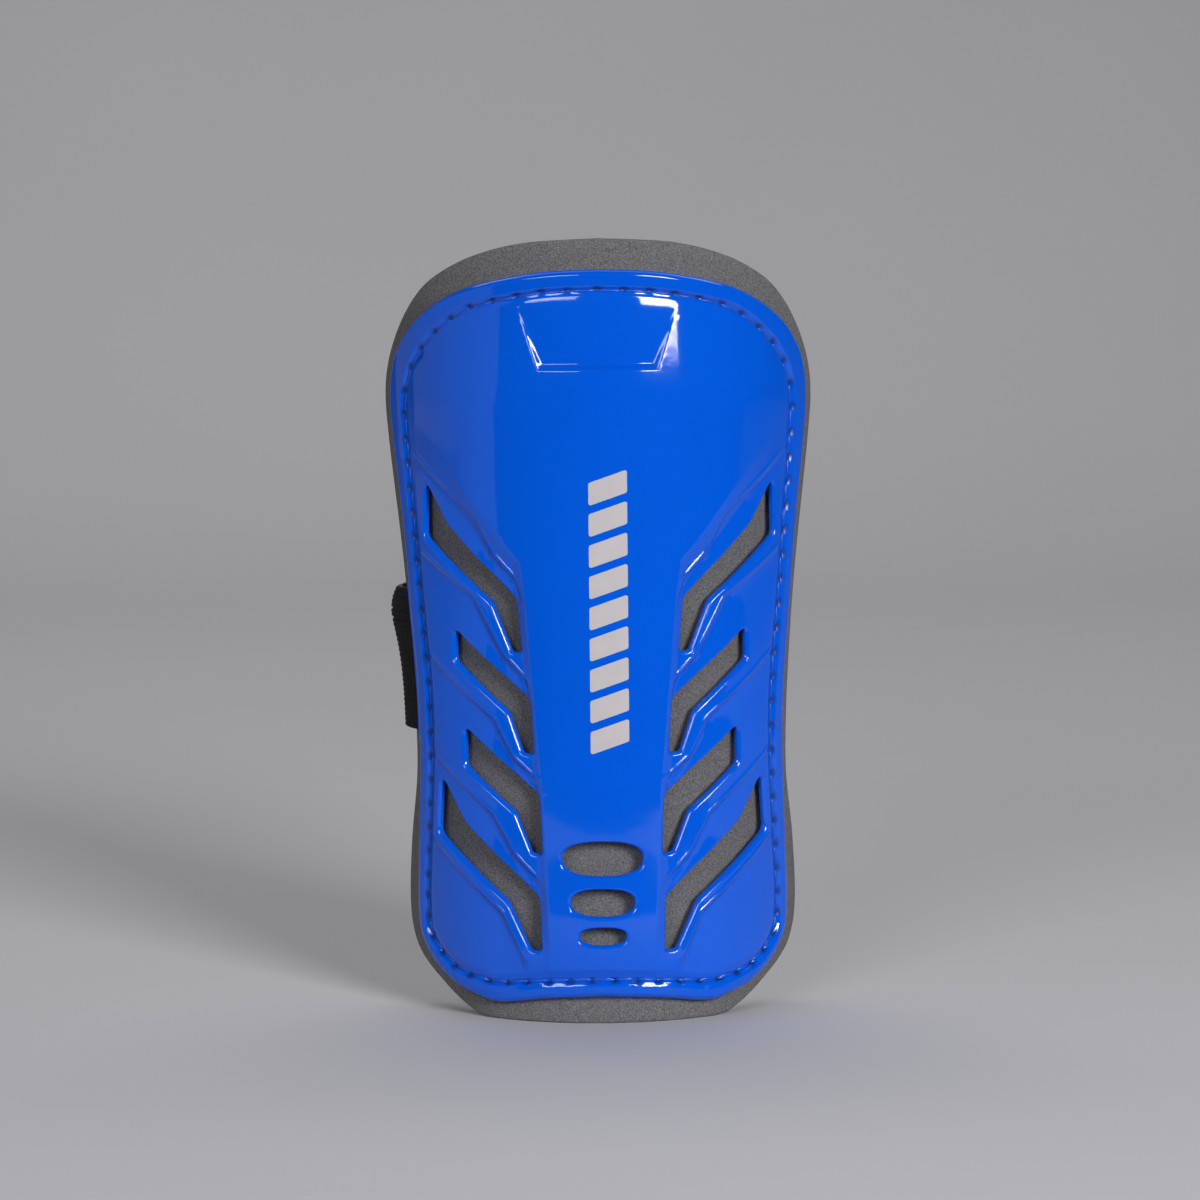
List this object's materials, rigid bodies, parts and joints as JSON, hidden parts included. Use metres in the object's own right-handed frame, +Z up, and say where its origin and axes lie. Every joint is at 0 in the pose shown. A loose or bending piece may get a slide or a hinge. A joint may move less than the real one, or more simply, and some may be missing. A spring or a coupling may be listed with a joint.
{
  "type": "football shin guard",
  "caption": "Curved shin guard with a glossy vented shell sewn to a foam pad, and an elastic strap that goes round the calf to a hook-and-loop tab.",
  "frame": {"origin": "bottom centre of the bounding box, on the surface that the pad's bottom edge stands on", "axes": "+Z up the shin, -Y out of the shell's front, +X toward the side with the hidden fastening tab"},
  "size_m": [0.1056, 0.0702, 0.19],
  "materials": {
    "shell_plastic": "high gloss moulded PVC",
    "pad_foam": "matte closed-cell foam with a fine grain",
    "strap_elastic": "matte woven elastic",
    "tab_fabric": "matte hook-and-loop patch"
  },
  "bodies": {
    "root": {"shell": "shell_plastic", "foam_pad": "pad_foam", "elastic_strap": "strap_elastic", "fastening_tab": "tab_fabric"}
  },
  "joints": []
}
